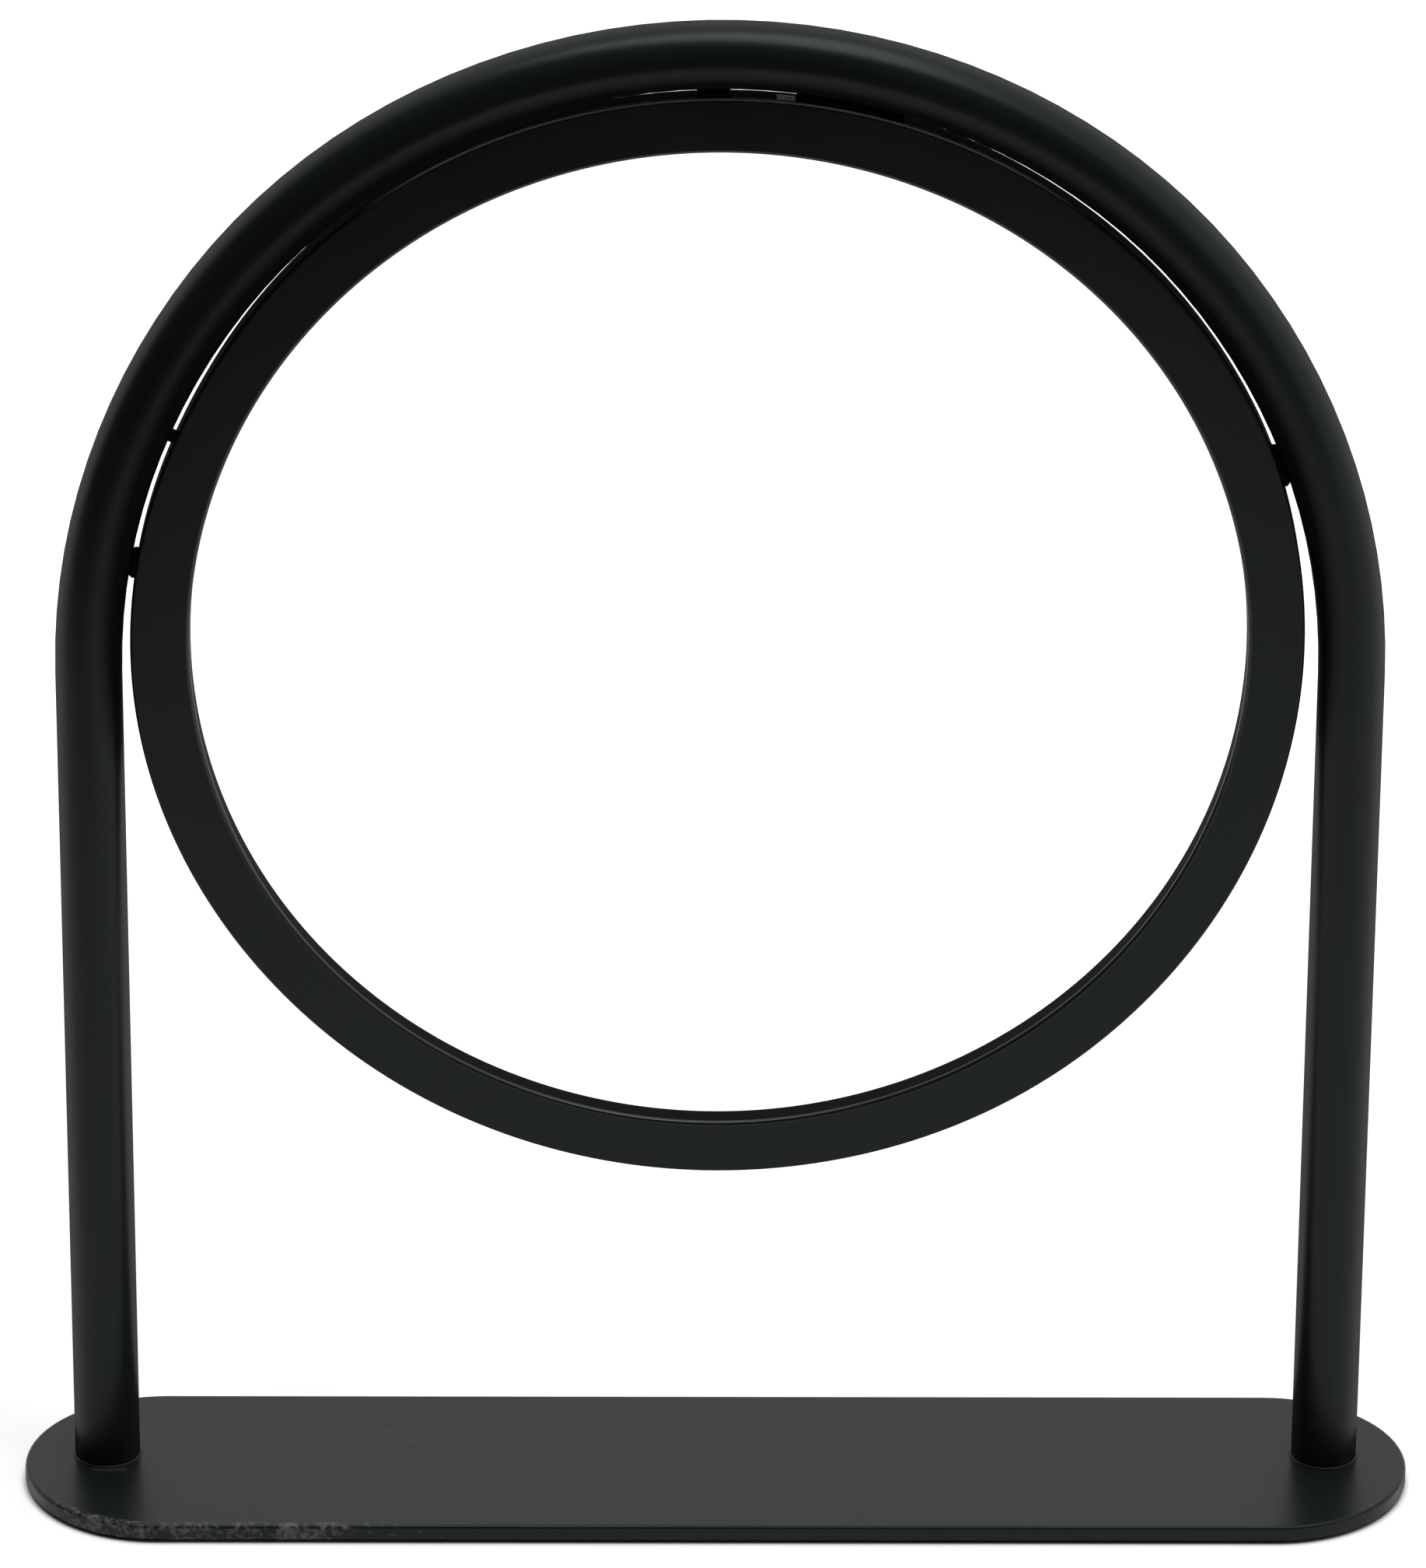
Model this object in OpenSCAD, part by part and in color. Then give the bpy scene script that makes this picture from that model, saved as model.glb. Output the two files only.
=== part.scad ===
// Free-standing arch stand: a bent tube arch on an obround foot plate.
// A flat ring is tack-welded just inside the curve of the arch.
// Millimetres. +X runs along the plate, +Z is up, and the front faces -Y.
// The origin is on the table, below the middle of the plate.

/* [Arch tube] */
// Outside diameter of the round tube
tube_od = 16; // [12:0.5:25]
// Wall thickness of the round tube
tube_wall = 1.5; // [1:0.1:2.5]
// Distance between the centre lines of the two legs
arch_span = 300; // [200:1:400]
// How much the shoulder bend's radius exceeds half the span
shoulder_ease = 12; // [4:1:15]

/* [Ring] */
// Width of the ring's flat face, from its outer edge to its hole
ring_width = 13.4; // [8:0.1:25]
// Depth of the ring from front to back
ring_depth = 6.5; // [4:0.5:12]
// Rounding along the ring's four edges
ring_edge_radius = 0.5; // [0.2:0.1:1]
// Gap between the ring and the inside of each leg, before the shift
ring_side_gap = 3.2; // [3:0.1:8]
// Gap between the top of the ring and the underside of the tube
ring_top_gap = 1.9; // [1.9:0.1:6]
// Height of the open space between the foot plate and the ring
ring_floor_gap = 79.4; // [30:0.2:200]
// How far the ring sits to the right of the arch's middle, negative for left
ring_shift = -0.4; // [-0.5:0.1:0.5]

/* [Welds between ring and tube] */
// How much wider than half the gap a weld bead's radius is
weld_bite = 1.2; // [0.8:0.1:2]
// How far a bead's middle lies in front of the ring's middle
weld_forward = 0.8; // [0:0.1:1.5]
// Angle of the right weld round the ring, from level on the right
right_weld_angle = 19.4; // [5:0.1:60]
// Length of the right weld along the ring
right_weld_length = 10; // [3:0.5:20]
// Angle of the weld on the right of the crown
crown_weld_angle = 77.7; // [65:0.1:80]
// Length of the weld on the right of the crown
crown_weld_length = 25; // [5:0.5:30]
// Angle of the weld at the top
top_weld_angle = 90.8; // [89:0.1:110]
// Length of the weld at the top
top_weld_length = 6.8; // [3:0.1:10]
// Angle of the upper left weld
left_upper_weld_angle = 157.8; // [130:0.1:162]
// Length of the upper left weld
left_upper_weld_length = 2.6; // [2:0.1:10]
// Angle of the lower left weld
left_lower_weld_angle = 171.4; // [168:0.1:176]
// Length of the lower left weld
left_lower_weld_length = 6.6; // [3:0.1:12]

/* [Foot] */
// How far the plate runs past the outside of each leg
plate_overhang = 12; // [4:0.5:60]
// Depth of the plate from front to back
plate_depth = 67; // [50:1:160]
// How far the legs stand behind the middle of the plate's depth
leg_set_back = 4; // [0:0.5:6]
// Thickness of the plate
plate_thickness = 4; // [4:0.5:10]
// Rounding along the plate's upper and lower edges
plate_edge_radius = 0.8; // [0.3:0.1:1.5]
// Thickness of the anti-slip pad under the plate
pad_thickness = 0.8; // [0.5:0.1:4]
// How far the pad stays inside the plate's outline
pad_inset = 2; // [1.5:0.5:8]
// Width of the ring of bare plate round each screw head
pad_hole_margin = 1.5; // [0.5:0.5:4]

/* [Leg fastenings] */
// Nominal diameter of the countersunk screws
screw_diameter = 6; // [4:1:6]
// Overall length of the countersunk screws, head included
screw_length = 16; // [12:1:20]
// Width across flats of the screws' hexagon socket
screw_socket = 4; // [2.5:0.5:4]
// Depth of the hexagon socket
screw_socket_depth = 2; // [1.2:0.2:2.4]
// How far a screw head sits above the plate's underside
screw_head_recess = 0.2; // [0.1:0.1:0.4]
// Gap all round the screw in the plate
screw_clearance = 0.3; // [0.1:0.1:0.6]
// Length of the threaded plug in each tube end
plug_length = 20; // [18:1:40]
// Gap all round the plug in the tube
plug_clearance = 0.05; // [0.02:0.01:0.2]
// How far the plug stays up inside the tube end
plug_recess = 0.4; // [0:0.1:0.8]

/* [Hidden] */

$fn = 96;
section_fn = 48;   // sides of the tube's round section
weld_fn = 240;     // sides of the curves that bound the small weld beads
overrun = 1;       // how far a cutting shape runs past what it cuts
seam = 0.00001;    // how far neighbouring lengths of tube run into each other
thread_gap = 0.05; // gap between a screw's shank and its plug
hex_angle = 30;    // half the angle of a side of the hexagon socket

paint_colour = "#2b2d2f";
plate_colour = "#3a3d3f";
pad_colour = "#151515";
steel_colour = "#9a9da0";

// Heights
plate_bottom = pad_thickness;
plate_top = plate_bottom + plate_thickness;

// Bend radii of the tube's centre line: a wide shoulder runs into a tighter crown.
// They meet on the line through their centres, which rises 3 for every 4 along,
// so that every distance along it is a round number.
tube_radius = tube_od / 2;
half_span = arch_span / 2;
meet_slope = 3 / 4;
meet_length = 5 / 4;
shoulder_radius = half_span + shoulder_ease;
crown_radius = shoulder_radius - shoulder_ease * meet_length;
crown_lift = shoulder_ease * meet_slope;
crown_inner_rise = crown_lift + crown_radius - tube_radius;

// The ring fills the arch apart from its gaps
ring_outer = half_span - tube_radius - ring_side_gap;
ring_inner = ring_outer - ring_width;
ring_z = plate_top + ring_floor_gap + ring_outer;
leg_top = ring_z + ring_outer + ring_top_gap - crown_inner_rise;
leg_length = leg_top - plate_top;
crown_z = leg_top + crown_lift;

// Plate outline
plate_length = arch_span + tube_od + 2 * plate_overhang;
plate_straight = plate_length - plate_depth;

// Screws: the head is a 90 degree cone
screw_head_diameter = 2 * screw_diameter;
screw_head_height = (screw_head_diameter - screw_diameter) / 2;
screw_bottom = plate_bottom + screw_head_recess;
plug_diameter = tube_od - 2 * tube_wall - 2 * plug_clearance;

// Which bend lies over a point of the arch's plane, and where its centre is
function in_crown(point) = point.y - crown_z > abs(point.x) * meet_slope;
function bend_centre(point) = in_crown(point)
  ? [0, crown_z]
  : [point.x < 0 ? shoulder_ease : -shoulder_ease, leg_top];
function bend_radius(point) = in_crown(point) ? crown_radius : shoulder_radius;
function ring_edge_point(angle) = [
  ring_shift + ring_outer * cos(angle),
  ring_z + ring_outer * sin(angle)
];

// Distance from a point of the ring's outer edge to the tube, along the bend's radius
function gap_at(point) =
  bend_radius(point) - tube_radius - norm(point - bend_centre(point));

// Stands a shape drawn in X and Y up into the legs' upright plane, facing the front
module stand_up() {
  translate([0, leg_set_back, 0])
    rotate([90, 0, 0])
      children();
}

module tube_section() {
  difference() {
    circle(d = tube_od, $fn = section_fn);
    circle(d = tube_od - 2 * tube_wall, $fn = section_fn);
  }
}

// The part of a full bend that lies inside an outline of the arch's plane
module bend(centre, radius, outline) {
  intersection() {
    translate(centre)
      rotate_extrude()
        translate([radius, 0])
          tube_section();
    linear_extrude(tube_od + 2 * overrun, center = true)
      polygon(outline);
  }
}

module arch_tube() {
  reach = half_span + tube_od;
  meet_z = crown_z + reach * meet_slope;
  crown_end = crown_z + reach;
  color(paint_colour) {
    for (side = [-1, 1])
      translate([side * half_span, leg_set_back, plate_top])
        linear_extrude(leg_length + seam)
          tube_section();
    stand_up() {
      for (flip = [0, 1])
        mirror([flip, 0, 0])
          bend(
            [-shoulder_ease, leg_top],
            shoulder_radius,
            [
              [-shoulder_ease, leg_top],
              [reach, leg_top],
              [reach, meet_z + seam],
              [-shoulder_ease, leg_top + seam]
            ]
          );
      bend(
        [0, crown_z],
        crown_radius,
        [[0, crown_z], [reach, meet_z], [reach, crown_end], [-reach, crown_end], [-reach, meet_z]]
      );
    }
  }
}

// A rectangle with rounded corners, its lower left corner at the origin
module rounded_section(width, height, radius) {
  translate([radius, 0]) square([width - 2 * radius, height]);
  translate([0, radius]) square([width, height - 2 * radius]);
  for (x = [radius, width - radius], y = [radius, height - radius])
    translate([x, y]) circle(r = radius, $fn = section_fn);
}

module ring() {
  color(paint_colour)
    translate([ring_shift, 0, ring_z])
      stand_up()
        rotate_extrude()
          translate([ring_inner, -ring_depth / 2])
            rounded_section(ring_width, ring_depth, ring_edge_radius);
}

// A bead in the gap, trimmed to the ring's edge and to the tube
module weld(angle, length) {
  middle = ring_edge_point(angle);
  gap = gap_at(middle);
  sweep = length * 180 / (PI * ring_outer);
  color(paint_colour)
    stand_up()
      difference() {
        translate([ring_shift, ring_z])
          rotate_extrude(start = angle - sweep / 2, angle = sweep, $fn = weld_fn)
            difference() {
              translate([ring_outer + gap / 2, weld_forward])
                circle(r = gap / 2 + weld_bite, $fn = section_fn);
              translate([ring_inner, -tube_od / 2])
                square([ring_width, tube_od]);
            }
        translate(bend_centre(middle))
          rotate_extrude($fn = weld_fn)
            translate([bend_radius(middle), 0])
              circle(d = tube_od, $fn = weld_fn);
      }
}

module weld_right() {
  weld(right_weld_angle, right_weld_length);
}

module weld_crown() {
  weld(crown_weld_angle, crown_weld_length);
}

module weld_top() {
  weld(top_weld_angle, top_weld_length);
}

module weld_left_upper() {
  weld(left_upper_weld_angle, left_upper_weld_length);
}

module weld_left_lower() {
  weld(left_lower_weld_angle, left_lower_weld_length);
}

// An obround plate with rounded edges, standing on z = 0
module obround_plate(length, depth, height, edge) {
  straight = length - depth;
  for (side = [-1, 1])
    translate([side * straight / 2, 0, 0])
      rotate([0, 0, side * -90])
        rotate_extrude(angle = 180)
          intersection() {
            translate([-depth / 2, 0]) rounded_section(depth, height, edge);
            square([depth, height]);
          }
  rotate([90, 0, 90])
    translate([-depth / 2, 0, -straight / 2])
      linear_extrude(straight)
        rounded_section(depth, height, edge);
}

// A countersunk screw's outline, grown by a clearance
module screw_outline(clearance, length) {
  head_height = screw_head_height + clearance;
  cylinder(
    d1 = screw_head_diameter + 2 * clearance,
    d2 = screw_diameter,
    h = head_height
  );
  cylinder(d = screw_diameter + 2 * clearance, h = length);
}

module at_leg(side) {
  translate([side * half_span, leg_set_back, 0]) children();
}

module at_legs() {
  at_leg(-1) children();
  at_leg(1) children();
}

module foot_plate() {
  color(plate_colour)
    difference() {
      translate([0, 0, plate_bottom])
        obround_plate(plate_length, plate_depth, plate_thickness, plate_edge_radius);
      at_legs() {
        translate([0, 0, screw_bottom])
          screw_outline(screw_clearance, plate_thickness + overrun);
        translate([0, 0, plate_bottom - overrun])
          cylinder(
            d = screw_head_diameter + 2 * screw_clearance,
            h = overrun + screw_head_recess
          );
      }
    }
}

module foot_pad() {
  pad_length = plate_length - 2 * pad_inset;
  pad_depth = plate_depth - 2 * pad_inset;
  color(pad_colour)
    difference() {
      union() {
        translate([-plate_straight / 2, -pad_depth / 2, 0])
          cube([plate_straight, pad_depth, pad_thickness]);
        for (side = [-1, 1])
          translate([side * plate_straight / 2, 0, 0])
            cylinder(d = pad_depth, h = pad_thickness);
      }
      at_legs()
        translate([0, 0, -overrun])
          cylinder(
            d = screw_head_diameter + 2 * pad_hole_margin,
            h = pad_thickness + 2 * overrun
          );
    }
}

// Threaded plug fixed inside the foot of a leg
module leg_plug(side) {
  color(steel_colour)
    at_leg(side)
      translate([0, 0, plate_top + plug_recess])
        difference() {
          cylinder(d = plug_diameter, h = plug_length);
          translate([0, 0, -overrun])
            cylinder(
              d = screw_diameter + 2 * thread_gap,
              h = plug_length + 2 * overrun
            );
        }
}

module leg_plug_left() {
  leg_plug(-1);
}

module leg_plug_right() {
  leg_plug(1);
}

// Countersunk screw with a hexagon socket, driven from below
module leg_screw(side) {
  color(steel_colour)
    at_leg(side)
      translate([0, 0, screw_bottom])
        difference() {
          screw_outline(0, screw_length);
          translate([0, 0, -overrun])
            cylinder(
              d = screw_socket / cos(hex_angle),
              h = screw_socket_depth + overrun,
              $fn = 6
            );
        }
}

module leg_screw_left() {
  leg_screw(-1);
}

module leg_screw_right() {
  leg_screw(1);
}

foot_plate();
foot_pad();
arch_tube();
ring();
weld_right();
weld_crown();
weld_top();
weld_left_upper();
weld_left_lower();
leg_plug_left();
leg_plug_right();
leg_screw_left();
leg_screw_right();
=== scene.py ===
# %% [markdown]
# # Ring arch stand in satin black
# The real object is a free-standing frame of painted steel. Two legs rise from a flat
# foot plate and bend over into one arch, and a few small welds hold a flat ring inside
# the curve.
# The measured model comes in first, as a frame that nothing here moves. Every piece made
# below goes where that frame says, in metres.

# %% Load the measured frame
import math

import bmesh
import bpy
from mathutils import Matrix, Vector, noise


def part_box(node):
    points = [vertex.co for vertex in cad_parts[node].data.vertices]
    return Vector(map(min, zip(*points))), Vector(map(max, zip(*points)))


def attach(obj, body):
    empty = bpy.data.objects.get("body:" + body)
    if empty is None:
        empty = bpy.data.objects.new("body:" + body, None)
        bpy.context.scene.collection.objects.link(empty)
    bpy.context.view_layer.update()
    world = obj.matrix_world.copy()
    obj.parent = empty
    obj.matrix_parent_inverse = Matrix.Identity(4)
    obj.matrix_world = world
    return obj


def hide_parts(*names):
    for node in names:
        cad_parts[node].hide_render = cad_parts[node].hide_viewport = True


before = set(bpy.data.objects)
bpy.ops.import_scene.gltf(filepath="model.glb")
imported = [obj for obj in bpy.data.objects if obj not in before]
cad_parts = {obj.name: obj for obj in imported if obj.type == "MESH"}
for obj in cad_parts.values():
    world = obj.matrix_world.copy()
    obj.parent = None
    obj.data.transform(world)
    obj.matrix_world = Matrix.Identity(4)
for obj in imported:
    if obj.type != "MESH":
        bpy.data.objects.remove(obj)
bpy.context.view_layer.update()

scene = bpy.context.scene
print("nodes:", ", ".join(sorted(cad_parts)))

# %% [markdown]
# ## Sizes
# A drawing of sheet and tube is written in millimetres, but Blender works in metres, so
# one small helper turns the first into the second. The sizes that the new pieces and
# finishes need are the ones that the frame was drawn with, and the boxes of three of its
# pieces are printed.

# %% Sizes in millimetres
MM = 0.001


def mm(*lengths):
    """Millimetres as one number in metres, or several as a vector."""
    metres = [length * MM for length in lengths]
    return metres[0] if len(metres) == 1 else Vector(metres)


PLATE_TOP = 4.8
PLATE_HALF_DEPTH = 33.5
PLATE_END_X = 136.5
LEG_X, LEG_Y = 150, 4
TUBE_RADIUS = 8
RING_CENTRE = (-0.4, 223.0)
RING_INNER, RING_OUTER = 125.4, 138.8
RING_HALF_DEPTH = 3.25
RING_FRONT = LEG_Y - RING_HALF_DEPTH

for name in ("foot_plate", "arch_tube", "ring"):
    low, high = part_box(name)
    print(name, [round(v / MM, 2) for v in (*low, *high)], "mm")

# %% [markdown]
# ## The camera
# A long lens a couple of metres away keeps the two legs almost parallel. The three small
# turns are applied in a plain order: first the roll about the line of sight, then the
# downward tilt, then the turn about the upright axis. Rotation matrices written out from
# those turns leave no doubt about the order.

# %% Camera
SENSOR = 36
FOCAL_PIXELS = 12296.70
FRAME_PIXELS = 2016
CAMERA_PLACE = (-19.253, -2070.634, 1141.197)
CAMERA_TURN, CAMERA_TILT, CAMERA_ROLL = -0.4871, -24.7124, -0.3170

turn = (
    Matrix.Rotation(math.radians(CAMERA_TURN), 3, "Z")
    @ Matrix.Rotation(math.radians(CAMERA_TILT), 3, "X")
    @ Matrix.Rotation(math.radians(CAMERA_ROLL), 3, "Y")
)
lens = bpy.data.cameras.new("camera")
lens.sensor_width = SENSOR
lens.lens = FOCAL_PIXELS / FRAME_PIXELS * SENSOR
lens.clip_start, lens.clip_end = 0.1, 100
camera = bpy.data.objects.new("camera", lens)
look = Matrix((turn.col[0], turn.col[2], -turn.col[1])).transposed()
camera.matrix_world = Matrix.Translation(mm(*CAMERA_PLACE)) @ look.to_4x4()
scene.collection.objects.link(camera)
scene.camera = camera
scene.view_settings.view_transform = "Standard"
print("lens", round(lens.lens, 2), "mm")

# %% [markdown]
# ## Writing a finish as sums
# A finish is a net of shader nodes, but it reads best as arithmetic. One small class
# wraps a node's output, so that `1 - mask` adds a Math node. A net drawn by hand would
# be as good, but nobody could read it in a script.


# %% A value that adds its own nodes
class Value:
    """One output of a shader node. Arithmetic on it adds Math nodes."""

    def __init__(self, finish, output):
        self.finish = finish
        self.output = output

    def math(self, operation, first, second=0.0):
        return self.finish.node("ShaderNodeMath", {"operation": operation}, {0: first, 1: second})

    def __add__(self, other):
        return self.math("ADD", self, other)

    def __sub__(self, other):
        return self.math("SUBTRACT", self, other)

    def __rsub__(self, other):
        return self.math("SUBTRACT", other, self)

    def __mul__(self, other):
        return self.math("MULTIPLY", self, other)

    def __truediv__(self, other):
        return self.math("DIVIDE", self, other)

    def __abs__(self):
        return self.math("ABSOLUTE", self)

    def root(self):
        return self.math("SQRT", self)

    def sine(self):
        return self.math("SINE", self)

    def at_least(self, least):
        return self.math("MAXIMUM", self, least)

    def at_most(self, most):
        return self.math("MINIMUM", self, most)

    __radd__ = __add__
    __rmul__ = __mul__


print("values ready")

# %% [markdown]
# ## Every other node
# A second class stands for one material or world. It makes any node from its type, its
# settings and what its sockets receive. Settings go first, because some of them change
# which sockets a node has. The few nodes that every finish needs get short names.


# %% A finish
class Finish:
    """A material or world whose nodes are written as expressions."""

    def __init__(self, owner):
        owner.use_nodes = True
        self.owner = owner
        self.tree = owner.node_tree
        self.tree.nodes.clear()

    def node(self, kind, settings=None, sockets=None, out=0):
        made = self.tree.nodes.new(kind)
        for key, value in (settings or {}).items():
            setattr(made, key, value)
        for key, value in (sockets or {}).items():
            if isinstance(value, Value):
                self.tree.links.new(value.output, made.inputs[key])
            else:
                made.inputs[key].default_value = value
        return Value(self, made.outputs[out]) if made.outputs else made

    def place(self):
        """Object coordinates, through a Mapping node."""
        spot = self.node("ShaderNodeTexCoord", out="Object")
        return self.node("ShaderNodeMapping", {}, {"Vector": spot})

    def axes(self, spot):
        """The three parts of a place, in millimetres."""
        split = self.node("ShaderNodeSeparateXYZ", {}, {"Vector": spot})
        return [Value(self, output) / MM for output in split.output.node.outputs]

    def grain(self, spot, size_mm, detail=2.0, roughness=0.5):
        """Smooth random values from 0 to 1, in patches about size_mm across."""
        sockets = {"Vector": spot, "Scale": 1 / mm(size_mm)}
        sockets.update({"Detail": detail, "Roughness": roughness})
        return self.node("ShaderNodeTexNoise", {}, sockets, out="Fac")

    def step(self, value, low, high):
        """0 at low and 1 at high, with a soft change between."""
        sockets = {"Value": value, "From Min": low, "From Max": high}
        return self.node("ShaderNodeMapRange", {"interpolation_type": "SMOOTHSTEP"}, sockets)

    def blend(self, factor, first, second):
        """A colour between two colours."""
        sockets = {0: factor, 6: first, 7: second}
        return self.node("ShaderNodeMix", {"data_type": "RGBA"}, sockets, out=2)

    def bump(self, height, strength, rise_mm):
        """Relief about rise_mm high, for a shader's Normal."""
        sockets = {"Strength": strength, "Distance": mm(rise_mm), "Height": height}
        return self.node("ShaderNodeBump", {}, sockets)

    def principled(self, sockets):
        """The all-round shader."""
        return self.node("ShaderNodeBsdfPrincipled", {}, sockets)

    def cover(self, shader):
        """Gives the material this shader as its surface, and hands the material over."""
        self.node("ShaderNodeOutputMaterial", {}, {"Surface": shader})
        return self.owner


print("finishes ready")

# %% [markdown]
# ## Background
# Black paint shows its surroundings more than its own colour, so the studio comes before
# the paint. The world gives a low even light, and through Light Path it is white to the
# eye, in gloss and through glass. A brighter world would look as white, but it would
# also wash the black out.

# %% Background
WHITE, BLACK = (1, 1, 1, 1), (0, 0, 0, 1)
AMBIENT = 0.35


def seen_directly(finish):
    """1 for rays from the eye, from gloss and through glass, and 0 for scattered light."""
    path = finish.node("ShaderNodeLightPath", out="Is Camera Ray")
    glossy = Value(finish, path.output.node.outputs["Is Glossy Ray"])
    through = Value(finish, path.output.node.outputs["Is Transmission Ray"])
    return path + glossy + through


scene.world = bpy.data.worlds.new("studio")
air = Finish(scene.world)
strength = seen_directly(air).at_most(1.0) * (1 - AMBIENT) + AMBIENT
sky = air.node("ShaderNodeBackground", {}, {"Color": WHITE, "Strength": strength})
air.node("ShaderNodeOutputWorld", {}, {"Surface": sky})
print("ambient light", AMBIENT)

# %% [markdown]
# ## Floor
# The floor is pale paper. It glows a little where it is seen directly, so that it looks
# white while the light that it throws on the object stays low. Under the plate, and for
# a millimetre or so round it, the glow stops, which paints a dark contact shadow where the
# stand touches the floor. Far out a second glow, for the camera alone, hides the
# curtain's shadow.

# %% Flat sheets round the object
FLOOR_SIDE = 12


def flat_sheet(name, place, width, height, tilt=0, turn=0):
    """A sheet in metres, tilted about X and then turned about Z by some degrees."""
    sheet = bmesh.new()
    bmesh.ops.create_grid(sheet, x_segments=1, y_segments=1, size=0.5)
    bmesh.ops.scale(sheet, vec=(width, height, 1), verts=sheet.verts)
    tilted = Matrix.Rotation(math.radians(tilt), 3, "X")
    turned = Matrix.Rotation(math.radians(turn), 3, "Z")
    bmesh.ops.rotate(sheet, cent=(0, 0, 0), matrix=turned @ tilted, verts=sheet.verts)
    bmesh.ops.translate(sheet, vec=place, verts=sheet.verts)
    mesh = bpy.data.meshes.new(name)
    sheet.to_mesh(mesh)
    sheet.free()
    spread = bpy.data.objects.new(name, mesh)
    scene.collection.objects.link(spread)
    return spread


floor = flat_sheet("floor", (0, 0, 0), FLOOR_SIDE, FLOOR_SIDE)
print("floor", FLOOR_SIDE, "m each way")

# %% Floor paper
FLOOR_LOW, FLOOR_HIGH = (0.79, 0.79, 0.79, 1), (0.81, 0.81, 0.81, 1)
PAPER_TOOTH, PAPER_ROUGH = 40, 0.9
NEAR_GLOW, CONTACT_SHADOW_EDGE = 0.6, (-1.0, 1.5)
FAR_GLOW, FAR_EDGE = 0.25, (120, 350)


def beyond_plate(finish, spot):
    """How far a place lies outside the plate's outline, in millimetres."""
    x, y, z = finish.axes(spot)
    along = (abs(x) - PLATE_END_X).at_least(0)
    return (along * along + y * y).root() - PLATE_HALF_DEPTH


paper = Finish(bpy.data.materials.new("floor_paper"))
lie = paper.place()
shade = paper.blend(paper.grain(lie, PAPER_TOOTH), FLOOR_LOW, FLOOR_HIGH)
outside = beyond_plate(paper, lie)
# Painted shadow: the glow fades out under the plate and just round it.
near = seen_directly(paper) * paper.step(outside, *CONTACT_SHADOW_EDGE) * NEAR_GLOW
by_eye = paper.node("ShaderNodeLightPath", out="Is Camera Ray")
far = by_eye * paper.step(outside, *FAR_EDGE) * FAR_GLOW
surface = paper.principled({
    "Base Color": shade,
    "Roughness": PAPER_ROUGH,
    "Specular IOR Level": 0.0,
    "Emission Color": paper.blend(near + far, BLACK, WHITE),
    "Emission Strength": 1.0,
})
floor.data.materials.append(paper.cover(surface))
print("floor paper made")

# %% [markdown]
# ## Lamp and curtain
# One large soft lamp above and a little in front puts a broad sheen along the top of the
# tube and across the foot plate. A dark curtain hangs in front, where the camera looks
# through it, and keeps the faces that look forward deep. Dimming the lamp instead would
# take the sheen away as well.

# %% Lamp
LAMP_PLACE, LAMP_AIM = Vector((0.12, -0.53, 2.3)), Vector((0, 0, 0.2))
LAMP_WIDTH, LAMP_DEPTH, LAMP_WATTS = 1.8, 1.62, 37

glow = bpy.data.lights.new("lamp_above", "AREA")
glow.shape = "RECTANGLE"
glow.size, glow.size_y = LAMP_WIDTH, LAMP_DEPTH
glow.energy = LAMP_WATTS
lamp = bpy.data.objects.new("lamp_above", glow)
scene.collection.objects.link(lamp)
lamp.location = LAMP_PLACE
lamp.rotation_mode = "QUATERNION"
lamp.rotation_quaternion = (LAMP_AIM - LAMP_PLACE).to_track_quat("-Z", "Y")
print("lamp", LAMP_WATTS, "W")

# %% Curtain
CURTAIN_PLACE, CURTAIN_TURN = (0, -0.65, 1.0), -25
CURTAIN_WIDTH, CURTAIN_HEIGHT = 4, 2.0
CLOTH_BLACK = (0.02, 0.02, 0.02, 1)

hung = flat_sheet(
    "front_curtain", CURTAIN_PLACE, CURTAIN_WIDTH, CURTAIN_HEIGHT, tilt=90, turn=CURTAIN_TURN
)
hung.visible_camera = False
cloth = Finish(bpy.data.materials.new("black_cloth"))
dark = cloth.node("ShaderNodeBsdfDiffuse", {}, {"Color": CLOTH_BLACK})
hung.data.materials.append(cloth.cover(dark))
print("curtain", CURTAIN_WIDTH, "by", CURTAIN_HEIGHT, "m")

# %% [markdown]
# ## Satin black powder coat
# Powder coat is sprayed on dry and baked until it flows. It keeps a fine orange peel and
# a slightly uneven sheen. Noise at three sizes, from Object coordinates, gives the peel,
# the cloudy sheen and the specks. The satin coat and a matt one are two shaders, and a
# mask mixes them: where the coat stayed thin, which near the ring also paints shade on
# the tube, and where a face is seen almost edge on, because the fine tooth of the coat
# takes the shine there. Other masks add chips down to the primer, rubs with one painted
# glint among them, polish as a thin clear layer, and a pale grey that paints a highlight
# on the ring's top corner. Only colour, roughness, clear layer, normal and the mix vary,
# so the finish can be baked.

# %% Satin coat
BLACK_LOW, BLACK_HIGH = (0.0088, 0.0116, 0.0110, 1), (0.0120, 0.0154, 0.0147, 1)
MATT_BLACK = (0.0050, 0.0062, 0.0060, 1)
RUB_AND_GLINT_BLACK = (0.034, 0.037, 0.036, 1)
PRIMER_GREY = (0.17, 0.18, 0.177, 1)
PALE_MARK_GREY = (0.78, 0.79, 0.78, 1)
COOL_SHEEN = (0.90, 0.965, 1.0, 1)
CLOUD, PEEL, SPECK = 25, 1.6, 0.35
SATIN_ROUGH, SATIN_IOR = 0.25, 1.28
MATT_ROUGH, MATT_IOR = 0.55, 1.08
CLOUD_ROUGH, SPECK_ROUGH, MATT_SPECK = 0.08, 0.06, 0.08
RUB_ROUGH, CHIP_ROUGH, POLISH_ROUGH = 0.05, 0.25, 0.2
SPECK_RISE, CHIP_DEPTH = 0.3, 2.0
COAT_RELIEF, PEEL_STRENGTH = 0.02, 0.35
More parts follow.
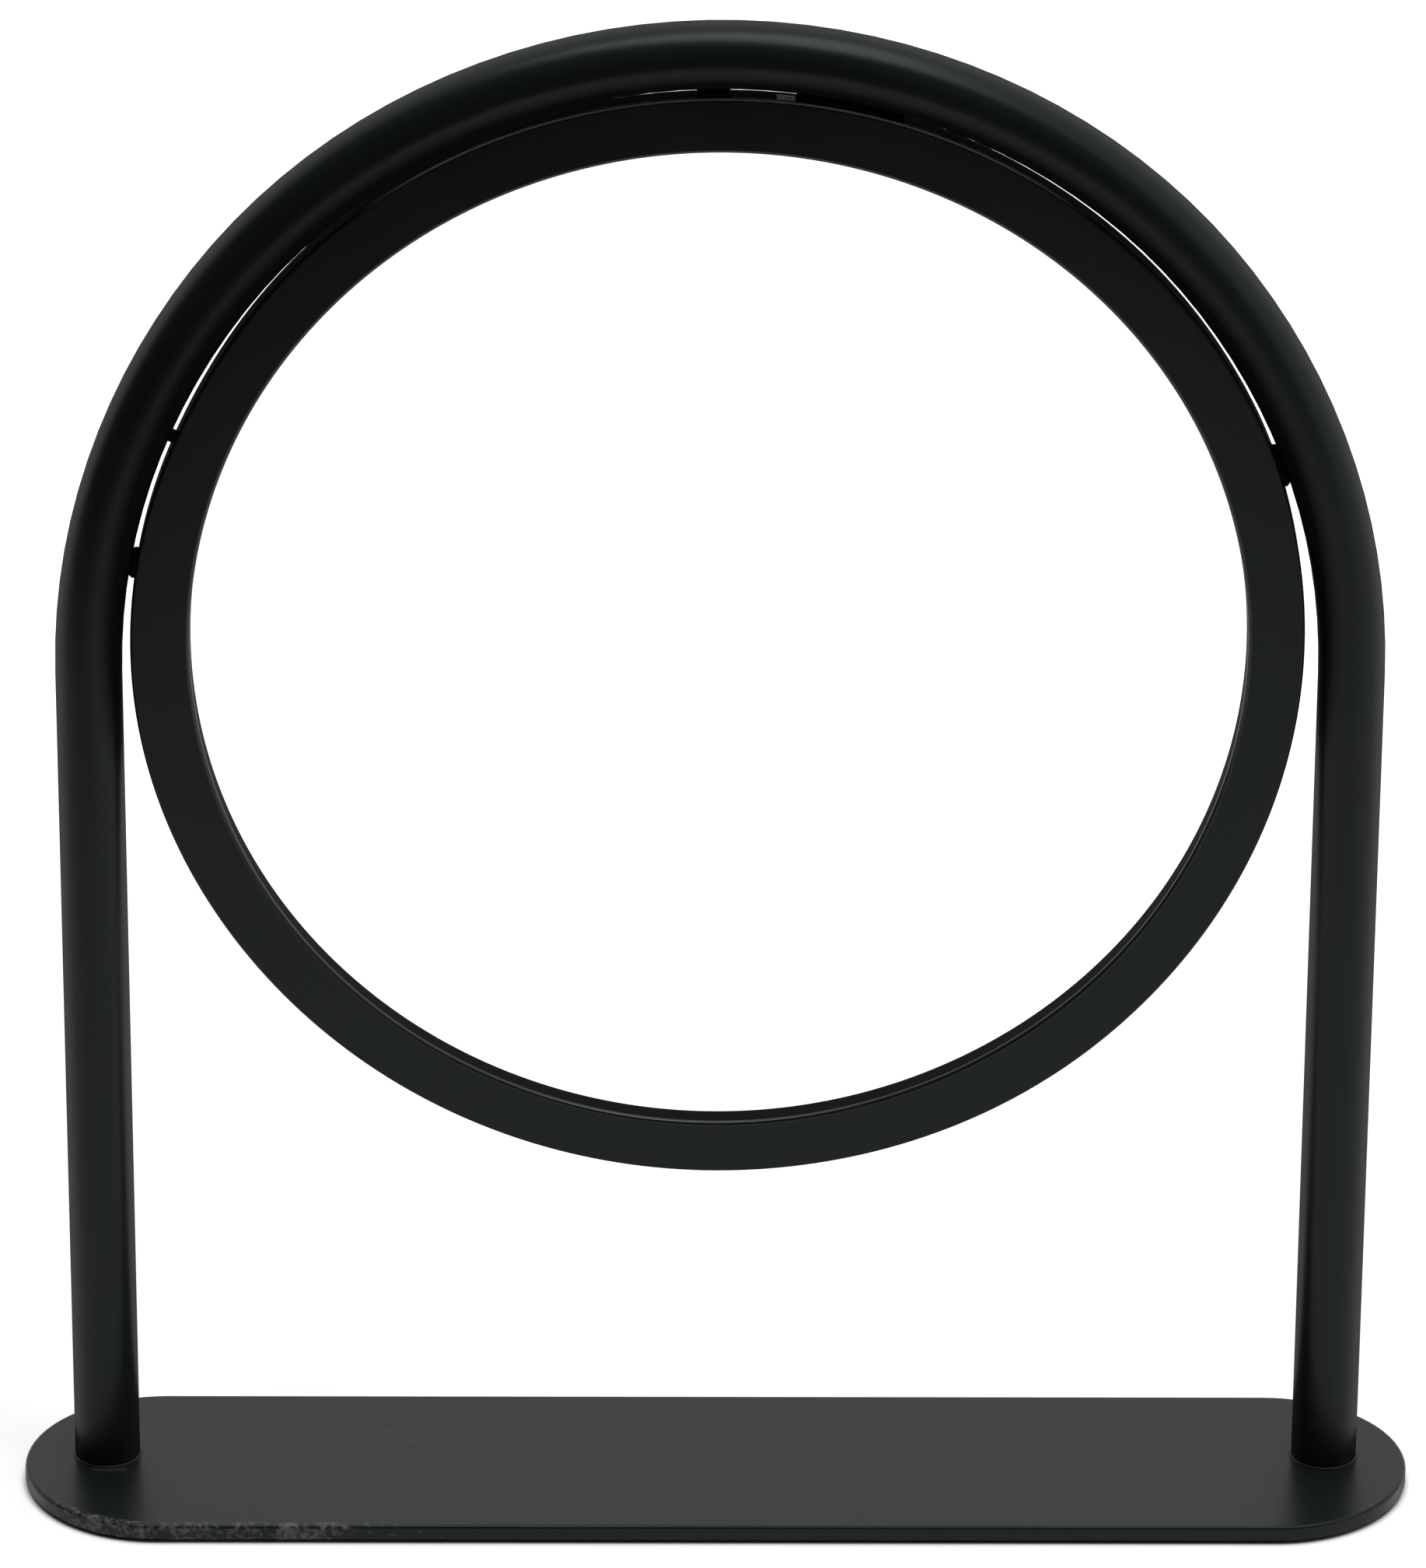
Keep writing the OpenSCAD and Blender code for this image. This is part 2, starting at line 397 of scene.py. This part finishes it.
EDGE_MATT, EDGE_FADE, TUBE_FADE = 0.85, (0.62, 0.95), (0.35, 0.85)


def powder_coat(
    name, dull=None, chipped=None, scuffs_and_glint=None, polished=None, pale_marking=None, fade=EDGE_FADE
):
    """The coat. fade is where it loses its shine edge on; each of the others is a mask."""
    finish = Finish(bpy.data.materials.new(name))
    spot = finish.place()
    cloud = finish.grain(spot, CLOUD, detail=3)
    peel = finish.grain(spot, PEEL, detail=2)
    speck = finish.grain(spot, SPECK, detail=1)
    colour = finish.blend(cloud, BLACK_LOW, BLACK_HIGH)
    rough = cloud * CLOUD_ROUGH + speck * SPECK_ROUGH + SATIN_ROUGH
    height = peel + speck * SPECK_RISE
    if scuffs_and_glint:
        # Rubs lighten the colour; one mark, at the left leg's foot, is a painted glint.
        scuff_and_glint = scuffs_and_glint(finish, spot)
        colour = finish.blend(scuff_and_glint, colour, RUB_AND_GLINT_BLACK)
        rough = rough + scuff_and_glint * RUB_ROUGH
    # Painted highlight: on the ring the pale grey lights the top corner.
    if pale_marking:
        colour = finish.blend(pale_marking(finish, spot), colour, PALE_MARK_GREY)
    if chipped:
        chip = chipped(finish, spot)
        colour = finish.blend(chip, colour, PRIMER_GREY)
        rough = rough + chip * CHIP_ROUGH
        height = height - chip * CHIP_DEPTH
    bump = finish.bump(height, PEEL_STRENGTH, COAT_RELIEF)
    sockets = {"Base Color": colour, "Roughness": rough, "IOR": SATIN_IOR, "Normal": bump}
    sockets["Specular Tint"] = COOL_SHEEN
    if polished:
        sockets["Coat Weight"] = polished(finish, spot)
        sockets["Coat Roughness"] = POLISH_ROUGH
    satin = finish.principled(sockets)
    rough = speck * MATT_SPECK + MATT_ROUGH
    matt = finish.principled(
        {"Base Color": MATT_BLACK, "Roughness": rough, "IOR": MATT_IOR, "Normal": bump}
    )
    edge_on = finish.node("ShaderNodeLayerWeight", {}, {"Blend": 0.5}, out="Facing")
    share = finish.step(edge_on, *fade) * EDGE_MATT
    # The dull mask also paints shade: the matt shader has a darker colour.
    if dull:
        share = dull(finish, spot).at_least(share)
    return finish.cover(finish.node("ShaderNodeMixShader", {}, {0: share, 1: satin, 2: matt}))


print("satin coat ready")

# %% [markdown]
# ## Dull coat
# Little powder reaches a narrow gap or clings to a cut wall or a weld, so there the coat
# stays thin, rough and almost without shine. One matt shader is enough for it. Its colour
# is darker than the satin coat, and on the welds and the ring's outer wall, which sit in
# the narrow gap under the tube, that darker colour also paints the shade of the gap.

# %% Dull coat
# Painted shade in part: on the welds and the outer wall these colours stand for the gap's shade.
DULL_SHADED_LOW, DULL_SHADED_HIGH = (0.0044, 0.0055, 0.0053, 1), (0.0056, 0.0069, 0.0067, 1)
CUT_GRAIN, CUT_STRENGTH = 0.8, 0.3
PALE_SPOT_GLOSS = 0.2
OUTER_WALL_IOR = 1.03


def dull_coat(name, ior=MATT_IOR, pale_marking=None):
    """The thin coat of a cut wall or a weld. pale_marking is the mask of a pale spot."""
    finish = Finish(bpy.data.materials.new(name))
    spot = finish.place()
    cut = finish.grain(spot, CUT_GRAIN, detail=3)
    speck = finish.grain(spot, SPECK, detail=1)
    colour = finish.blend(cut, DULL_SHADED_LOW, DULL_SHADED_HIGH)
    rough = speck * MATT_SPECK + MATT_ROUGH
    if pale_marking:
        paling = pale_marking(finish, spot)
        colour = finish.blend(paling, colour, PALE_MARK_GREY)
        rough = rough - paling * PALE_SPOT_GLOSS
    bump = finish.bump(cut + speck * SPECK_RISE, CUT_STRENGTH, COAT_RELIEF)
    sockets = {"Base Color": colour, "Roughness": rough, "IOR": ior, "Normal": bump}
    return finish.cover(finish.principled(sockets))


print("dull coat ready")

# %% [markdown]
# ## Marks on the ring and the tube
# Each mark is a mask, 1 where the mark is and 0 elsewhere, worked out from how far a
# place lies from the ring's axis. The tube is dull where it almost touches the ring, and
# its darker matt colour there paints the shade between tube and ring. Hands polish the
# ring's inner corner. Over the top, a pale hairline along the front outer corner paints a
# highlight, and one small pale spot sits on the outer wall just right of the top.

# %% Marks on the ring and the tube
TUBE_THIN_AND_SHADED = (9.5, 4.5)
POLISH, POLISH_IN, POLISH_OUT = 0.45, 0.7, 1.1
HAIRLINE_FROM, HAIRLINE_TO = (0.05, 0.2), (0.6, 0.4)
HAIRLINE_IN, HAIRLINE_OUT = 0.8, 0.4
HAIRLINE_OVER, HAIRLINE_PATCH = (108, 125), 4
PALE_SPOT_X, PALE_SPOT_FORWARD = 14.4, 1
PALE_SPOT_LONG, PALE_SPOT_SHORT, PALE_SPOT_OVER = (2.3, 2.0), (2.4, 2.0), (300, 330)


def from_ring_axis(finish, spot):
    """Distance from the ring's axis, place from front to back, height over its centre."""
    x, y, z = finish.axes(spot)
    across, up = x - RING_CENTRE[0], z - RING_CENTRE[1]
    return (across * across + up * up).root(), y, up


def thin_and_shaded_near_ring(finish, spot):
    """1 where the tube almost touches the ring, and 0 from 9.5 mm outside it."""
    # Where this is 1 the tube turns matt and darker: a thin coat, and painted shade.
    radius, y, up = from_ring_axis(finish, spot)
    return finish.step(radius - RING_OUTER, *TUBE_THIN_AND_SHADED)


def inner_corner(finish, spot):
    """The polish on the ring's front inner corner."""
    radius, y, up = from_ring_axis(finish, spot)
    front = finish.step(y, RING_FRONT + POLISH_OUT, RING_FRONT + POLISH_IN)
    return finish.step(radius, RING_INNER + POLISH_OUT, RING_INNER + POLISH_IN) * front * POLISH


def painted_corner_highlight(finish, spot):
    """Painted highlight: a pale hairline on the front outer corner, over the ring's top."""
    radius, y, up = from_ring_axis(finish, spot)
    inward = y - RING_FRONT
    line = finish.step(inward, *HAIRLINE_FROM) * finish.step(inward, *HAIRLINE_TO)
    rim = finish.step(radius, RING_OUTER - HAIRLINE_IN, RING_OUTER - HAIRLINE_OUT)
    patch = finish.grain(spot, HAIRLINE_PATCH, detail=2) * 0.3 + 0.7
    return line * rim * finish.step(up, *HAIRLINE_OVER) * patch


def pale_spot_mark(finish, spot):
    """A small pale spot on the outer wall, just right of the top."""
    x, y, z = finish.axes(spot)
    long_way, short_way = abs(x - PALE_SPOT_X), abs(y - LEG_Y + PALE_SPOT_FORWARD)
    mark = finish.step(long_way, *PALE_SPOT_LONG) * finish.step(short_way, *PALE_SPOT_SHORT)
    return mark * finish.step(z, *PALE_SPOT_OVER)


print("marks on the ring ready")

# %% [markdown]
# ## Marks on the foot plate
# A plate that stands on a table gets knocked along its rim, most at the corner where it
# is picked up. Noise at two sizes makes the flecks, and soft steps say where they are
# thick. The rubs on the top are listed as middle and half size, and a fine grain breaks
# them up.

# %% Marks on the foot plate
RIM_BAND = (-2.8, -0.8)
LEFT_FROM, LEFT_TO, LEFT_FRONT = (-50, -105), (-182, -150), (6, -14)
RIGHT_FROM, RIGHT_FRONT, RIGHT_SHARE = (110, 150), (0, -14), 0.3
CHIP_PATCH, CHIP_FLECK, CHIP_LIMITS = 5, 1.4, (0.64, 0.80)
RUBS = ((-80.6, 14.6, 2.4, 1.2), (-75.8, 10.2, 3.4, 1.1), (-36, 21.6, 11, 0.5))
RUB_EDGE, RUB_GRAIN, RUB_LIMITS = (1.1, 0.4), 0.8, (0.35, 0.6)
# A painted glint at the front of the left leg's foot.
FOOT_GLINT_X, FOOT_GLINT_Y = -149.1, -5.0
FOOT_GLINT_LONG, FOOT_GLINT_SHORT = (4.5, 3.9), (1.1, 0.6)


def rim_chips(finish, spot):
    """Flecks on the rim, thickest along the front at the left end."""
    x, y, z = finish.axes(spot)
    rim = finish.step(beyond_plate(finish, spot), *RIM_BAND)
    left = finish.step(x, *LEFT_FROM) * finish.step(x, *LEFT_TO) * finish.step(y, *LEFT_FRONT)
    right = finish.step(x, *RIGHT_FROM) * finish.step(y, *RIGHT_FRONT) * RIGHT_SHARE
    patch = finish.grain(spot, CHIP_PATCH, detail=2)
    fleck = finish.grain(spot, CHIP_FLECK, detail=4, roughness=0.65)
    return finish.step(fleck * 0.6 + patch * 0.4 + (left + right) * 0.2, *CHIP_LIMITS) * rim


def plate_scuffs_and_glint(finish, spot):
    """Two short rubs, a faint line, and a painted glint at the left leg's foot."""
    x, y, z = finish.axes(spot)
    broken = finish.step(finish.grain(spot, RUB_GRAIN, detail=3), *RUB_LIMITS)
    marks = 0
    for middle_x, middle_y, half_x, half_y in RUBS:
        across, along = (x - middle_x) / half_x, (y - middle_y) / half_y
        marks = finish.step((across * across + along * along).root(), *RUB_EDGE) + marks
    # Painted glint: a short pale line on the plate at the front of the left leg's foot.
    glint_long = finish.step(abs(x - FOOT_GLINT_X), *FOOT_GLINT_LONG)
    glint_short = finish.step(abs(y - FOOT_GLINT_Y), *FOOT_GLINT_SHORT)
    return glint_long * glint_short + marks * broken


print("marks on the plate ready")

# %% [markdown]
# ## The coats put together
# Each piece gets the coat with the marks that it carries. The ring has three, for its
# faces, its inner wall and its outer wall, because a mask can't tell a cut wall from a
# face as cleanly as a material of its own does.

# %% The coats
plain_coat = powder_coat("satin_black_powder_coat")
plate_coat = powder_coat("plate_powder_coat", chipped=rim_chips, scuffs_and_glint=plate_scuffs_and_glint)
tube_coat = powder_coat("tube_powder_coat", dull=thin_and_shaded_near_ring, fade=TUBE_FADE)
ring_coat = powder_coat("ring_powder_coat", polished=inner_corner, pale_marking=painted_corner_highlight)
inner_wall_coat = dull_coat("dull_inner_wall")
outer_wall_coat = dull_coat("dull_outer_wall", ior=OUTER_WALL_IOR, pale_marking=pale_spot_mark)
weld_coat = dull_coat("dull_weld")
print("7 coats made")

# %% [markdown]
# ## Rubber and zinc
# The pad under the plate is matt moulded rubber with a fine tooth. The plugs and screws
# are plain turned steel with a zinc skin: thin rings from the cutting tool, made as a
# sine of the distance from the screw's axis, and the soft patches of the zinc bath.

# %% Rubber
RUBBER_LOW, RUBBER_HIGH = (0.010, 0.010, 0.010, 1), (0.016, 0.016, 0.016, 1)
RUBBER_ROUGH, RUBBER_IOR = 0.72, 1.25
RUBBER_TOOTH, RUBBER_PATCH = 0.5, 12
TOOTH_STRENGTH, TOOTH_RELIEF = 0.5, 0.05


def rubber(name):
    finish = Finish(bpy.data.materials.new(name))
    spot = finish.place()
    tooth = finish.grain(spot, RUBBER_TOOTH, detail=3)
    patch = finish.grain(spot, RUBBER_PATCH)
    colour = finish.blend(patch, RUBBER_LOW, RUBBER_HIGH)
    rough = patch * 0.1 + RUBBER_ROUGH
    bump = finish.bump(tooth, TOOTH_STRENGTH, TOOTH_RELIEF)
    sockets = {"Base Color": colour, "Roughness": rough, "IOR": RUBBER_IOR, "Normal": bump}
    return finish.cover(finish.principled(sockets))


pad_rubber = rubber("pad_rubber")
print("rubber made")

# %% Zinc
ZINC_LOW, ZINC_HIGH = (0.36, 0.36, 0.37, 1), (0.48, 0.48, 0.49, 1)
ZINC_ROUGH, ZINC_PATCH = 0.28, 2.5
TOOL_RINGS, TOOL_STRENGTH, TOOL_RELIEF = 18, 0.3, 0.01


def zinc(name, centre_x):
    """Turned steel with a zinc skin, its rings centred on a leg."""
    finish = Finish(bpy.data.materials.new(name))
    spot = finish.place()
    x, y, z = finish.axes(spot)
    across, along = x - centre_x, y - LEG_Y
    rings = ((across * across + along * along).root() * TOOL_RINGS).sine() * 0.5 + 0.5
    patch = finish.grain(spot, ZINC_PATCH, detail=3)
    colour = finish.blend(patch, ZINC_LOW, ZINC_HIGH)
    rough = rings * 0.06 + patch * 0.12 + ZINC_ROUGH
    bump = finish.bump(rings, TOOL_STRENGTH, TOOL_RELIEF)
    sockets = {"Base Color": colour, "Metallic": 1.0, "Roughness": rough, "Normal": bump}
    return finish.cover(finish.principled(sockets))


left_zinc, right_zinc = zinc("zinc_left", -LEG_X), zinc("zinc_right", LEG_X)
print("zinc made")

# %% [markdown]
# ## Dressing the frame's own pieces
# The plate, the pad, the tube, the plugs and the screws have their final shape in the
# frame, so they only change their finish. The ring and the welds get the plain coat here
# and finer shapes below.

# %% Dress the frame's own pieces
coats = {
    "arch_tube": tube_coat,
    "foot_plate": plate_coat,
    "foot_pad": pad_rubber,
    "leg_plug_left": left_zinc,
    "leg_screw_left": left_zinc,
    "leg_plug_right": right_zinc,
    "leg_screw_right": right_zinc,
}
for name in sorted(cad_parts):
    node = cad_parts[name]
    for slot in node.material_slots:
        slot.material = coats.get(name, plain_coat)
print("dressed", len(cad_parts), "pieces")

# %% [markdown]
# ## From a mesh to a piece
# Every new piece ends in the same way: doubles merged, faces turned outwards, shading
# weighted so that flat faces look flat, and a place on the frame's one body. Every new
# piece is also a section spun about a line, so that call is written once.

# %% Spin and finish a piece
SEAM = 0.001


def spin(mesh, axis, angle, steps, closed):
    """Sweeps a section about a line through the origin. closed joins a full turn."""
    bmesh.ops.spin(
        mesh,
        geom=mesh.verts[:] + mesh.edges[:],
        cent=(0, 0, 0),
        axis=axis,
        angle=angle,
        steps=steps,
        use_merge=closed,
        use_duplicate=False,
    )


def new_piece(name, mesh, slot, *materials):
    """Turns a bmesh into an object of the stand. The slot argument is not used."""
    bmesh.ops.remove_doubles(mesh, verts=mesh.verts, dist=mm(SEAM))
    bmesh.ops.recalc_face_normals(mesh, faces=mesh.faces)
    for face in mesh.faces:
        face.smooth = True
    data = bpy.data.meshes.new(name)
    mesh.to_mesh(data)
    mesh.free()
    for material in materials:
        data.materials.append(material)
    piece = bpy.data.objects.new(name, data)
    scene.collection.objects.link(piece)
    piece.modifiers.new("even_shading", "WEIGHTED_NORMAL")
    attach(piece, "root")
    print(name, len(data.polygons), "faces")
    return piece


print("piece helpers ready")

# %% [markdown]
# ## The ring's section
# The ring is cut from plate, so its faces are flat and its inner and outer walls are the
# cut. The front corners are rounded and catch the lamp as a thin line. A rectangle whose
# corners are bevelled as vertices gives the section. A cylinder with a hole would leave
# the edges sharp and the faces in long slivers.

# %% Section of the ring
FRONT_EDGE, REAR_EDGE = 0.9, 0.5
RING_STEPS = 288
RING_AXIS = (0, 1, 0)


def round_corners(mesh, corners, radius):
    bmesh.ops.bevel(
        mesh,
        geom=corners,
        offset=mm(radius),
        segments=5,
        profile=0.5,
        affect="VERTICES",
        material=-1,
    )


section = bmesh.new()
bmesh.ops.create_grid(section, x_segments=1, y_segments=1, size=0.5)
width, depth = mm(RING_OUTER - RING_INNER), mm(2 * RING_HALF_DEPTH)
bmesh.ops.scale(section, vec=(width, depth, 1), verts=section.verts)
middle_radius = (RING_OUTER + RING_INNER) / 2
bmesh.ops.translate(section, vec=mm(middle_radius, LEG_Y, 0), verts=section.verts)
front = [corner for corner in section.verts if corner.co.y < mm(LEG_Y)]
rear = [corner for corner in section.verts if corner.co.y > mm(LEG_Y)]
round_corners(section, front, FRONT_EDGE)
round_corners(section, rear, REAR_EDGE)
bmesh.ops.delete(section, geom=section.faces[:], context="FACES_ONLY")
print("section of", len(section.verts), "points")

# %% [markdown]
# ## The ring's body
# A full spin about the ring's axis makes the body. The cut walls get the dull coat: a
# face belongs to a wall if it hardly looks along the axis. The outer cut was dressed by
# hand until the ring sat in the arch, so it wanders by up to most of a millimetre, and a
# few broad swells move its points along the radius. Each swell is a bell curve, given by
# its angle, its spread in degrees and its height in millimetres.

# %% Ring
SWELLS = (
    (22, 4, 0.2),
    (30, 18, 0.5),
    (68, 14, 0.47),
    (116, 13.5, 0.4),
    (153, 8, -0.45),
    (188, 18, 0.85),
    (300, 14, 0.4),
)
FACE_COAT, INNER_COAT, OUTER_COAT = 0, 1, 2
WALL_TURN = 0.05


def swell(degrees):
    """How far the outer wall stands out at an angle round the ring, in millimetres."""
    total = 0
    for middle, spread, height in SWELLS:
        away = (degrees - middle + 180) % 360 - 180
        total += height * math.exp(-away * away / (2 * spread * spread))
    return total


spin(section, RING_AXIS, math.tau, RING_STEPS, closed=True)
bmesh.ops.recalc_face_normals(section, faces=section.faces)
for face in section.faces:
    middle = face.calc_center_median()
    wall = OUTER_COAT if math.hypot(middle.x, middle.z) > mm(middle_radius) else INNER_COAT
    face.material_index = wall if abs(face.normal.y) < WALL_TURN else FACE_COAT
for corner in section.verts:
    radius = math.hypot(corner.co.x, corner.co.z)
    outward = max(0.0, (radius - mm(RING_INNER)) / (mm(RING_OUTER) - mm(RING_INNER)))
    angle = math.degrees(math.atan2(corner.co.z, corner.co.x))
    grown = 1 + outward * mm(swell(angle)) / radius
    corner.co.x, corner.co.z = corner.co.x * grown, corner.co.z * grown
bmesh.ops.translate(section, vec=mm(RING_CENTRE[0], 0, RING_CENTRE[1]), verts=section.verts)
ring = new_piece(
    "flat_ring", section, "black_powder_coat", ring_coat, inner_wall_coat, outer_wall_coat
)
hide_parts("ring")

# %% [markdown]
# ## Where the welds are
# Each weld is a short bead that was laid in the gap between ring and tube and then
# coated. The tube's bends and the ring give the gap at any angle, so a bead needs only
# its angle and its length.

# %% Gap and places of the welds
CROWN_BEND = (0, 224.7, 147)
SHOULDER_BEND = (12, 215.7, 162)
CROWN_FROM, CROWN_TO = 54, 126
WELDS = {
    "weld_right": (19.4, 10.0),
    "weld_crown": (77.7, 25.0),
    "weld_top": (90.8, 6.8),
    "weld_left_upper": (157.5, 1.6),
    "weld_left_lower": (171.4, 6.6),
}


def gap_at(degrees):
    """From the ring's outer edge to the tube, in millimetres."""
    angle = math.radians(degrees)
    x = RING_CENTRE[0] + RING_OUTER * math.cos(angle)
    z = RING_CENTRE[1] + RING_OUTER * math.sin(angle)
    side = 0 if CROWN_FROM < degrees < CROWN_TO else (-1 if degrees < CROWN_FROM else 1)
    centre_x, centre_z, radius = CROWN_BEND if side == 0 else SHOULDER_BEND
    return radius - TUBE_RADIUS - math.hypot(x - side * centre_x, z - centre_z)


for name, (degrees, length) in WELDS.items():
    print(name, "gap", round(gap_at(degrees), 2), "mm")

# %% [markdown]
# ## Weld beads
# A bead bulges a little, tapers at both ends and keeps the ripples of the moving puddle.
# An ellipse spun part of the way round the ring's axis gives the run, and then every loop
# is scaled about its own middle: to nothing at the ends, and up and down a little between.

# %% Weld beads
BEAD_OVERLAP, BEAD_RUN_OUT = 0.8, 1.2
BEAD_HALF_DEPTH, BEAD_Y = 2.4, LEG_Y - 0.3
BEAD_SIDES, STEPS_PER_MM, LEAST_STEPS = 20, 4, 16
RIPPLE, RIPPLE_RISE = 1.8, 0.025
LUMP, LUMP_RISE = 1.3, 0.10


def bead_size(along, place, length):
    """How thick the bead is, from its middle at 0 to its ends at -1 and 1."""
    ripple = 1 + RIPPLE_RISE * math.cos(math.tau * along * length / 2 / RIPPLE)
    ripple += LUMP_RISE * noise.noise(place / mm(LUMP))
    return ripple * max(0.0, 1 - abs(along) ** 3) ** 0.5


def weld_bead(name, degrees, length):
    middle = RING_OUTER + gap_at(degrees) / 2
    half_width = gap_at(degrees) / 2 + BEAD_OVERLAP
    sweep = (length + BEAD_RUN_OUT) / middle
    bead = bmesh.new()
    bmesh.ops.create_circle(bead, segments=BEAD_SIDES, radius=1, cap_ends=False)
    bmesh.ops.scale(bead, vec=(mm(half_width), mm(BEAD_HALF_DEPTH), 1), verts=bead.verts)
    bmesh.ops.translate(bead, vec=mm(middle, BEAD_Y, 0), verts=bead.verts)
    start = Matrix.Rotation(-math.radians(degrees) + sweep / 2, 3, "Y")
    bmesh.ops.rotate(bead, cent=(0, 0, 0), matrix=start, verts=bead.verts)
    steps = max(LEAST_STEPS, round(length * STEPS_PER_MM))
    spin(bead, RING_AXIS, -sweep, steps, closed=False)
    for corner in bead.verts:
        angle = math.atan2(corner.co.z, corner.co.x)
        along = (angle - math.radians(degrees)) / (sweep / 2)
        eased = math.sin(max(-1.0, min(1.0, along)) * math.pi / 2)
        size = bead_size(eased, corner.co, length)
        radius = mm(middle) + (math.hypot(corner.co.x, corner.co.z) - mm(middle)) * size
        angle = math.radians(degrees) + eased * sweep / 2
        depth = mm(BEAD_Y) + (corner.co.y - mm(BEAD_Y)) * size
        corner.co = (radius * math.cos(angle), depth, radius * math.sin(angle))
    bmesh.ops.translate(bead, vec=mm(RING_CENTRE[0], 0, RING_CENTRE[1]), verts=bead.verts)
    piece = new_piece(name + "_bead", bead, "black_powder_coat", weld_coat)
    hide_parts(name)


for name, (degrees, length) in WELDS.items():
    weld_bead(name, degrees, length)

# %% [markdown]
# ## Coat in the corner of each foot
# Where a leg meets the plate, powder gathers in the corner and bakes into a fine bead. It
# is a thin round section spun once about the leg, half sunk in both.

# %% Foot beads
FOOT_BEAD = 0.4
FOOT_BEAD_OUT, FOOT_BEAD_UP = 0.1, 0.05
FOOT_BEAD_SIDES, FOOT_BEAD_STEPS = 12, 96


def foot_bead(name, x):
    bead = bmesh.new()
    bmesh.ops.create_circle(
        bead, segments=FOOT_BEAD_SIDES, radius=mm(FOOT_BEAD), cap_ends=False
    )
    upright = Matrix.Rotation(math.radians(90), 3, "X")
    bmesh.ops.rotate(bead, cent=(0, 0, 0), matrix=upright, verts=bead.verts)
    beside = mm(TUBE_RADIUS + FOOT_BEAD_OUT, 0, PLATE_TOP + FOOT_BEAD_UP)
    bmesh.ops.translate(bead, vec=beside, verts=bead.verts)
    spin(bead, (0, 0, 1), math.tau, FOOT_BEAD_STEPS, closed=True)
    bmesh.ops.translate(bead, vec=mm(x, LEG_Y, 0), verts=bead.verts)
    new_piece(name, bead, "black_powder_coat", plain_coat)


foot_bead("foot_bead_left", -LEG_X)
foot_bead("foot_bead_right", LEG_X)
